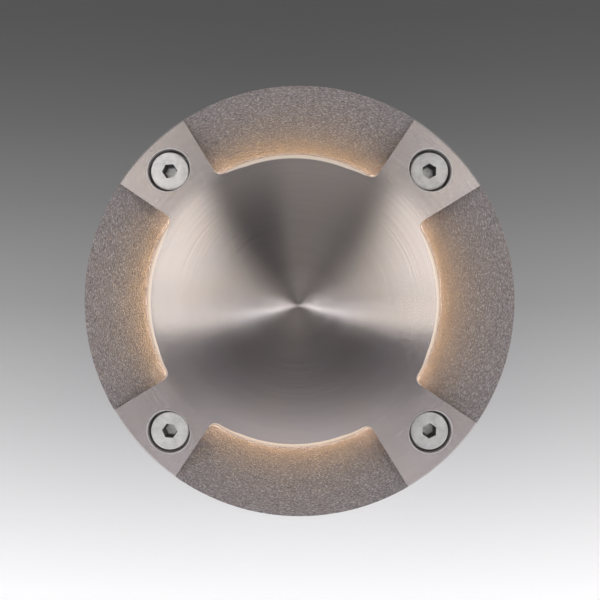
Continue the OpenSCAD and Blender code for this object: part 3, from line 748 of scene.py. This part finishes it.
def window_lips():
    """The lit lip of each window: it shows past the edge of the dome and turns into the corners."""
    finish = lip_finish()
    outline = ramp_outline()
    for n in range(4):
        name = f"window_lip_{n + 1}"
        mesh = lip_mesh(name, outline, math.radians(90.0 * n + CASTING_TURN), LIP_SHIFT[n])
        mesh.materials.append(finish.material)
        obj = bpy.data.objects.new(name, mesh)
        SCENE.collection.objects.link(obj)
        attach(obj, "cover")


window_lips()


# Moulded, coated, rubber and metal surfaces that repeat

DUST = (0.7, 0.68, 0.65)


def moulded(name, base, grain=0.35, depth=0.02, roughness=(0.42, 0.6), dust=0.05):
    """Moulded plastic: fine pits with dust in them, over slow flow marks."""
    f = Finish(name, base)
    pits = f.noise(f.place, size=grain, detail=3.0, rough=0.6)
    flow = f.noise(f.vector("MULTIPLY", f.place, (1.0, 1.0, 0.25)), size=8.0, detail=3.0, rough=0.55)
    tone = f.blend(f.span(flow, 0.35, 0.7), base, shaded(base, 1.45, 0.012))
    f.set("Base Color", f.blend(f.span(pits, 0.55, 0.75, 0.0, dust), tone, DUST))
    f.set("Roughness", f.spread(flow, *roughness))
    f.set("Normal", f.bump(pits, depth, f.rounded(0.2)))
    return f


def coated(name, base, grain=0.25):
    """Powder coat: orange peel with pale specks."""
    f = Finish(name, base, Coat_Weight=0.15, Coat_Roughness=0.3)
    peel = f.noise(f.place, size=grain * 3.0)
    specks = f.cells(f.place, grain)
    f.set("Base Color", f.blend(f.span(specks, 0.1, 0.6), shaded(base, 1.3), base))
    f.set("Roughness", f.spread(peel, 0.36, 0.5))
    f.set("Normal", f.bump(f.plus(peel, f.times(specks, 0.4)), 0.012, f.rounded(0.15)))
    return f


def rubber(name, base):
    """Rubber with a pale bloom in places."""
    f = Finish(name, base, Sheen_Weight=0.1)
    bloom = f.noise(f.place, size=3.5, detail=4.0, rough=0.6)
    f.set("Base Color", f.blend(f.span(bloom, 0.4, 0.75), base, shaded(base, 1.8, 0.02)))
    f.set("Roughness", f.spread(bloom, 0.62, 0.82))
    f.set("Normal", f.bump(f.noise(f.place, size=0.3, detail=3.0, rough=0.6), depth=0.02))
    return f


def metal(name, base, line=0.25, depth=0.005, roughness=(0.24, 0.36)):
    """Turned metal with rings line millimetres apart."""
    f = Finish(name, base, 0.3, 1.0, Anisotropic=0.6)
    rings, fine = f.turned((0.0, 0.0), line)
    f.set("Base Color", f.mottled(rings, base, shaded(base, 0.82)))
    f.set("Roughness", f.spread(rings, *roughness))
    f.set("Normal", f.relief(rings, fine, depth))
    return f


RUBBER = rubber("black_rubber_seal", (0.022, 0.022, 0.023))
CAPSULE = coated("capsule_coat", (0.045, 0.045, 0.048))
for node in ("cover_gasket", "glass_gasket", "end_cap_seal", "gland_o_ring"):
    dressed(node, RUBBER)
dressed("gland_seal", rubber("gland_seal_rubber", (0.10, 0.10, 0.10)))
dressed("capsule_housing", CAPSULE)
dressed("end_cap", CAPSULE)
for node in ("reflector_screw", "retaining_screws", "board_screws", "driver_screws",
             "end_cap_screws"):
    dressed(node, SMALL)
dressed("reflector_cone", metal("cone_aluminium", (0.86, 0.86, 0.85), 0.3, 0.002, (0.12, 0.2)))
dressed("led_reflector", metal("bowl_aluminium", (0.88, 0.88, 0.87), 0.4, 0.002, (0.10, 0.18)))
dressed("retaining_ring", metal("ring_steel", (0.62, 0.60, 0.59)))
dressed("threaded_inserts", metal("insert_brass", (0.78, 0.58, 0.27), 0.2, 0.01))
dressed("driver_standoffs", metal("standoff_brass", (0.76, 0.57, 0.28), 0.3, 0.006))
dressed("ground_sleeve", moulded("sleeve_plastic", (0.032, 0.032, 0.034)))
GLAND = moulded("gland_nylon", (0.028, 0.028, 0.030), 0.5, 0.012, (0.34, 0.5), 0.03)
dressed("gland_body", GLAND)
dressed("gland_nut", GLAND)


# Glass, the light source and the boards

def glass():
    f = Finish("lens_glass", (0.93, 0.97, 0.96), 0.02, Transmission_Weight=1.0, IOR=1.5)
    smear = f.noise(f.place, size=12.0, detail=3.0, rough=0.6, bend=1.2)
    f.set("Roughness", f.span(smear, 0.45, 0.8, 0.01, 0.07))
    f.set("Normal", f.bump(f.noise(f.place, size=18.0, detail=1.0), depth=0.01))
    return f


PHOSPHOR_R = 3.7


def light_source():
    """Yellow phosphor that glows, in a pale ring."""
    f = Finish("light_source", (0.92, 0.72, 0.20), 0.4)
    grain = f.noise(f.place, size=0.15)
    phosphor = f.mottled(grain, (0.95, 0.74, 0.18), (0.90, 0.64, 0.12))
    ring = f.span(f.radius(), PHOSPHOR_R, PHOSPHOR_R + 0.05)
    f.set("Base Color", f.blend(ring, phosphor, (0.88, 0.88, 0.86)))
    f.set("Emission Color", linear(255, 220, 170) + (1.0,))
    f.set("Emission Strength", f.span(ring, 0.0, 1.0, 2.0, 0.0))
    f.set("Normal", f.bump(grain, depth=0.01))
    return f


LANE_SHIFT = 1.6
LANE_WAVE = 1.9
PAD_APART = 4.2


def board(name, mask_colour, track_colour, pad_colour):
    """Solder mask over tracks, with bare pads in places."""
    f = Finish(name, mask_colour, 0.35, Coat_Weight=0.3, Coat_Roughness=0.15)
    bent = f.noise(f.place, size=7.0, detail=1.0)
    jogs = f.times(f.math("ROUND", f.times(bent, 5.0)), LANE_SHIFT)
    lane = f.times(f.plus(f.parts(f.place)[1], jogs), LANE_WAVE)
    track = f.span(f.unsigned(f.math("SINE", lane)), 0.80, 0.88)
    pad = f.span(f.cells(f.place, PAD_APART), 0.16, 0.18, 1.0, 0.0)
    f.set("Base Color", f.blend(pad, f.blend(track, mask_colour, track_colour), pad_colour))
    f.set("Roughness", f.spread(f.noise(f.place, size=2.0), 0.3, 0.42))
    f.set("Normal", f.bump(f.plus(track, f.times(pad, 0.6)), depth=0.03))
    return f


def pad_finish():
    f = Finish("thermal_pad", (0.33, 0.36, 0.45), 0.75)
    mesh = f.cells(f.place, 0.9)
    f.set("Base Color", f.blend(f.span(mesh, 0.1, 0.6), (0.36, 0.39, 0.48), (0.28, 0.31, 0.40)))
    f.set("Normal", f.bump(mesh, depth=0.03))
    return f


CAPACITOR_END_Z = -37.8
CAPACITOR_STRIPE_X = 6.2
CAPACITOR_STRIPE_HALF = 0.9
CAPACITOR_SLEEVE = (0.02, 0.03, 0.07)


def capacitor():
    """Shrunk sleeve with a pale stripe, open at the metal end."""
    f = Finish("capacitor_sleeve", CAPACITOR_SLEEVE, 0.3, Coat_Weight=0.3)
    x, z = f.parts(f.place)[::2]
    end = f.span(z, CAPACITOR_END_Z, CAPACITOR_END_Z + 0.05, 1.0, 0.0)
    shrink = f.noise(f.vector("MULTIPLY", f.place, (1.0, 1.0, 0.2)), size=1.5)
    stripe = f.span(f.unsigned(f.minus(x, CAPACITOR_STRIPE_X)), CAPACITOR_STRIPE_HALF,
                    CAPACITOR_STRIPE_HALF + 0.1, 1.0, 0.0)
    tone = f.blend(end, f.blend(stripe, CAPACITOR_SLEEVE, (0.55, 0.57, 0.60)), (0.62, 0.62, 0.62))
    f.set("Base Color", f.blend(f.spread(shrink, 0.0, 0.12), tone, (0.3, 0.3, 0.32)))
    f.set("Metallic", f.times(end, 0.9))
    f.set("Normal", f.bump(shrink, depth=0.03))
    return f


INDUCTOR_X = 5.66
WINDING_FROM = 2.6
WINDING_TO = 4.0
WIRE_WAVE = 22.0


def inductor():
    """Ferrite with copper turns in its round groove."""
    f = Finish("inductor", (0.06, 0.06, 0.065), 0.55)
    radius = f.radius((INDUCTOR_X, 0.0))
    groove = f.times(f.span(radius, WINDING_FROM, WINDING_FROM + 0.1),
                     f.span(radius, WINDING_TO, WINDING_TO + 0.1, 1.0, 0.0))
    wires = f.math("SINE", f.times(radius, WIRE_WAVE))
    grain = f.noise(f.place, size=0.3, detail=3.0, rough=0.6)
    ferrite = f.mottled(grain, (0.05, 0.05, 0.055), (0.09, 0.09, 0.095))
    f.set("Base Color", f.blend(groove, ferrite, (0.62, 0.27, 0.13)))
    f.set("Metallic", f.times(groove, 0.9))
    f.set("Normal", f.bump(f.math("MULTIPLY_ADD", f.times(wires, groove), 0.5, grain), depth=0.03))
    return f


BARE_END_Z = -15.85


def leads():
    """One black and one red lead, with bare ends."""
    f = Finish("lead_insulation", (0.55, 0.04, 0.03), 0.45)
    y, z = f.parts(f.place)[1:]
    jacket = f.blend(f.span(y, -0.1, 0.1), (0.03, 0.03, 0.03), (0.55, 0.04, 0.03))
    bare = f.span(z, BARE_END_Z, BARE_END_Z + 0.05)
    dull = f.noise(f.place, size=0.8)
    # Paler worn patches on the jacket
    wear_and_painted_light = f.blend(f.spread(dull, 0.0, 0.2), jacket, (0.5, 0.5, 0.5))
    f.set("Base Color", f.blend(bare, wear_and_painted_light, (0.7, 0.7, 0.7)))
    f.set("Metallic", bare)
    f.set("Normal", f.bump(dull, depth=0.02))
    return f


def component(name, base, mark):
    """Grained resin with small round marks."""
    f = Finish(name, base, 0.5)
    grain = f.noise(f.place, size=0.2, detail=3.0, rough=0.6)
    dot = f.span(f.cells(f.place, 3.4), 0.10, 0.12, 1.0, 0.0)
    tone = f.mottled(grain, base, shaded(base, 1.35))
    f.set("Base Color", f.blend(f.times(dot, 0.6), tone, mark))
    f.set("Roughness", f.spread(grain, 0.42, 0.6))
    f.set("Normal", f.bump(f.minus(grain, dot), 0.02, f.rounded(0.15)))
    return f


dressed("glass_lens", glass())
dressed("led_emitter", light_source())
dressed("thermal_pad", pad_finish())
dressed("led_board", board("white_board", (0.82, 0.82, 0.80), (0.74, 0.74, 0.73),
                           (0.80, 0.62, 0.30)))
dressed("driver_board", board("green_board", (0.02, 0.16, 0.07), (0.04, 0.26, 0.11),
                              (0.72, 0.70, 0.66)))
dressed("driver_capacitors", capacitor())
dressed("driver_inductor", inductor())
dressed("driver_chips", component("chip_resin", (0.025, 0.025, 0.027), (0.3, 0.3, 0.3)))
dressed("terminal_block", component("terminal_plastic", (0.03, 0.30, 0.16), (0.1, 0.5, 0.3)))
dressed("led_leads", leads())


# Floor, in metres: a sheet that goes from white in front of the object to dark grey behind it

FLOOR_GAP = 0.0001
FLOOR_Z = CAD_BOX[0][2] - FLOOR_GAP
FLOOR_HALF = 4.0
FLOOR_LIFT = 0.275
SEEN_HALF = (CAMERA_Z - FLOOR_Z) * (SENSOR_MM / 2) / LENS_MM
PLAIN_FROM = SEEN_HALF * 1.45
PLAIN_TO = 0.45
PLAIN_GREY = linear(218, 218, 218)
BOUNCE_GREY = (0.62, 0.62, 0.62)

# Share of the view from its front to its back, and the screen value of the sheet there
BACKDROP = ((0.017, 250), (0.10, 237), (0.20, 218), (0.333, 190), (0.50, 154), (0.667, 124),
            (0.80, 103), (0.90, 91), (0.983, 84))


def floor():
    mesh = bpy.data.meshes.new("floor")
    corners = ((-1, -1), (1, -1), (1, 1), (-1, 1))
    mesh.from_pydata([(x * FLOOR_HALF, y * FLOOR_HALF, FLOOR_Z) for x, y in corners], [],
                     [(0, 1, 2, 3)])
    obj = bpy.data.objects.new("floor", mesh)
    SCENE.collection.objects.link(obj)
    f = Finish("floor_paper", (0.75, 0.75, 0.75), 0.9, Specular_IOR_Level=0.0)
    x, y = f.parts(f.add("ShaderNodeNewGeometry").outputs["Position"])[:2]
    shade = f.steps(f.span(y, -SEEN_HALF, SEEN_HALF), *[(at, linear(v, v, v)) for at, v in BACKDROP])
    seen = f.blend(f.span(f.length(f.joined(x, y)), PLAIN_FROM, PLAIN_TO, smooth=True), shade,
                   PLAIN_GREY)
    path = f.add("ShaderNodeLightPath").outputs
    looked = f.most(path["Is Camera Ray"], f.most(path["Is Glossy Ray"], path["Is Transmission Ray"]))
    f.set("Base Color", f.blend(looked, BOUNCE_GREY, seen))
    f.set("Emission Color", seen)
    f.set("Emission Strength", f.times(looked, FLOOR_LIFT))
    mesh.materials.append(f.material)


# Studio: the walls by height, from level to overhead, and the soft panels

STUDIO_LEVEL = 1.08
WALLS = ((0.0, 0.80), (0.20, 0.65), (0.45, 0.66), (0.74, 0.585), (0.86, 0.345), (0.90, 0.125),
         (0.94, 0.035), (0.985, 0.007), (0.998, 0.33))
FRONT_WALL_TINT = (1.0, 0.995, 1.08)
BACK_WALL_TINT = (1.0, 0.99, 1.0)
SIDE_TINT = (1.0, 0.97, 0.92)
NEAR_TINT = (1.0, 0.975, 0.99)
STRIP_TINT = (0.96, 1.0, 1.07)

# Side panels: their inner edges with slant and bend, their length, and their radiance by place
SIDE_INNER = (0.209, 0.243)
SIDE_SLANT = -0.35
SIDE_BEND = (-0.14, 0.0, -0.11, 0.0)
SIDE_LENGTH = (-0.135, -0.105, 0.79, 1.15)
SIDE_RADIANCE = (0.50, 1.12, 1.58, 0.0)
SIDE_LEFT_RIGHT = (-0.1, 0.1, 0.91, 0.90)
SIDE_RISE = (0.03, 0.13, 1.0, 1.24)

# Front panel: its near edge, its width, and its radiance by distance from overhead
NEAR_EDGE = (0.46, 0.55)
NEAR_WIDTH = (-1.0, -0.9, 0.66, 0.96)
NEAR_RADIANCE = (0.67, 1.22, 0.93, 0.13)

# Strip: how it droops outwards, and its depth and width
STRIP_DROOP = 0.06
STRIP_DEPTH = (-0.038, -0.034, -0.028, -0.021)
STRIP_WIDTH = (0.062, 0.085, 0.125, 0.17)
STRIP_RADIANCE = 19.0

# Slit: its depth, and its width, which is not the same both ways
SLIT_DEPTH = (0.09, 0.15, 0.34, 0.55)
SLIT_WIDTH = (-0.11, -0.02, 0.05, 0.30)
SLIT_RADIANCE = 0.35


class Studio(Nodes):
    """A dim room with soft panels: one on each side, a pale one in front and a strip overhead.

    A panel's place is on a ceiling one unit above the object: aside is the distance from overhead
    along X, either way, back is along Y, and away is the distance in any direction.
    """

    def __init__(self):
        world = bpy.data.worlds.new("studio")
        super().__init__(world)
        self.x, self.y, self.z = self.parts(self.add("ShaderNodeTexCoord").outputs["Generated"])
        self.up = self.most(self.z, 0.04)
        self.aside = self.over(self.unsigned(self.x), self.up)
        self.back = self.over(self.y, self.up)
        self.away = self.math("SQRT", self.plus(self.times(self.aside, self.aside),
                                                self.times(self.back, self.back)))
        beside = self.scaled(SIDE_TINT, self.plus(self.sides(), self.slit()))
        others = self.vector("ADD", self.scaled(NEAR_TINT, self.near()),
                             self.scaled(STRIP_TINT, self.strip()))
        panels = self.vector("ADD", beside, others)
        background = self.add("ShaderNodeBackground")
        self.feed(background.inputs["Color"], self.vector("ADD", panels, self.walls()))
        background.inputs["Strength"].default_value = STUDIO_LEVEL
        output = self.add("ShaderNodeOutputWorld")
        self.feed(output.inputs["Surface"], background.outputs[0])
        SCENE.world = world

    def area(self, value, low, full, gone, none):
        """Rises softly from low to full, and falls from gone to none."""
        return self.times(self.span(value, low, full, smooth=True),
                          self.span(value, gone, none, 1.0, 0.0, smooth=True))

    def walls(self):
        tint = self.blend(self.span(self.y, -0.4, 0.4), FRONT_WALL_TINT, BACK_WALL_TINT)
        return self.vector("MULTIPLY", self.greys(self.z, WALLS), tint)

    def sides(self):
        """The panels on both sides, whose inner edges slant outwards to the back and front."""
        inner = self.plus(self.math("MULTIPLY_ADD", self.back, SIDE_SLANT, self.aside),
                          self.span(self.back, *SIDE_BEND))
        return self.times(self.span(self.away, *SIDE_RADIANCE),
                          self.span(inner, *SIDE_INNER, smooth=True),
                          self.area(self.back, *SIDE_LENGTH),
                          self.span(self.x, *SIDE_LEFT_RIGHT),
                          self.span(self.back, *SIDE_RISE))

    def near(self):
        """The pale panel in front."""
        front = self.times(self.back, -1.0)
        return self.times(self.span(self.away, *NEAR_RADIANCE),
                          self.span(front, *NEAR_EDGE, smooth=True),
                          self.area(self.aside, *NEAR_WIDTH))

    def strip(self):
        """The thin bright strip on each side of overhead, which droops outwards."""
        droop = self.math("MULTIPLY_ADD", self.aside, STRIP_DROOP, self.back)
        return self.times(STRIP_RADIANCE, self.area(droop, *STRIP_DEPTH),
                          self.area(self.aside, *STRIP_WIDTH))

    def slit(self):
        """A faint patch behind overhead."""
        return self.times(SLIT_RADIANCE, self.area(self.back, *SLIT_DEPTH),
                          self.area(self.over(self.x, self.up), *SLIT_WIDTH))


def place_camera():
    camera = bpy.data.cameras.new("camera")
    camera.lens = LENS_MM
    camera.sensor_width = SENSOR_MM
    camera.shift_x, camera.shift_y = SHIFT
    camera.clip_start = CLIP_START
    obj = bpy.data.objects.new("camera", camera)
    obj.location = (0.0, 0.0, CAMERA_Z)
    SCENE.collection.objects.link(obj)
    SCENE.camera = obj


floor()
Studio()
place_camera()
SCENE.view_settings.view_transform = "Standard"
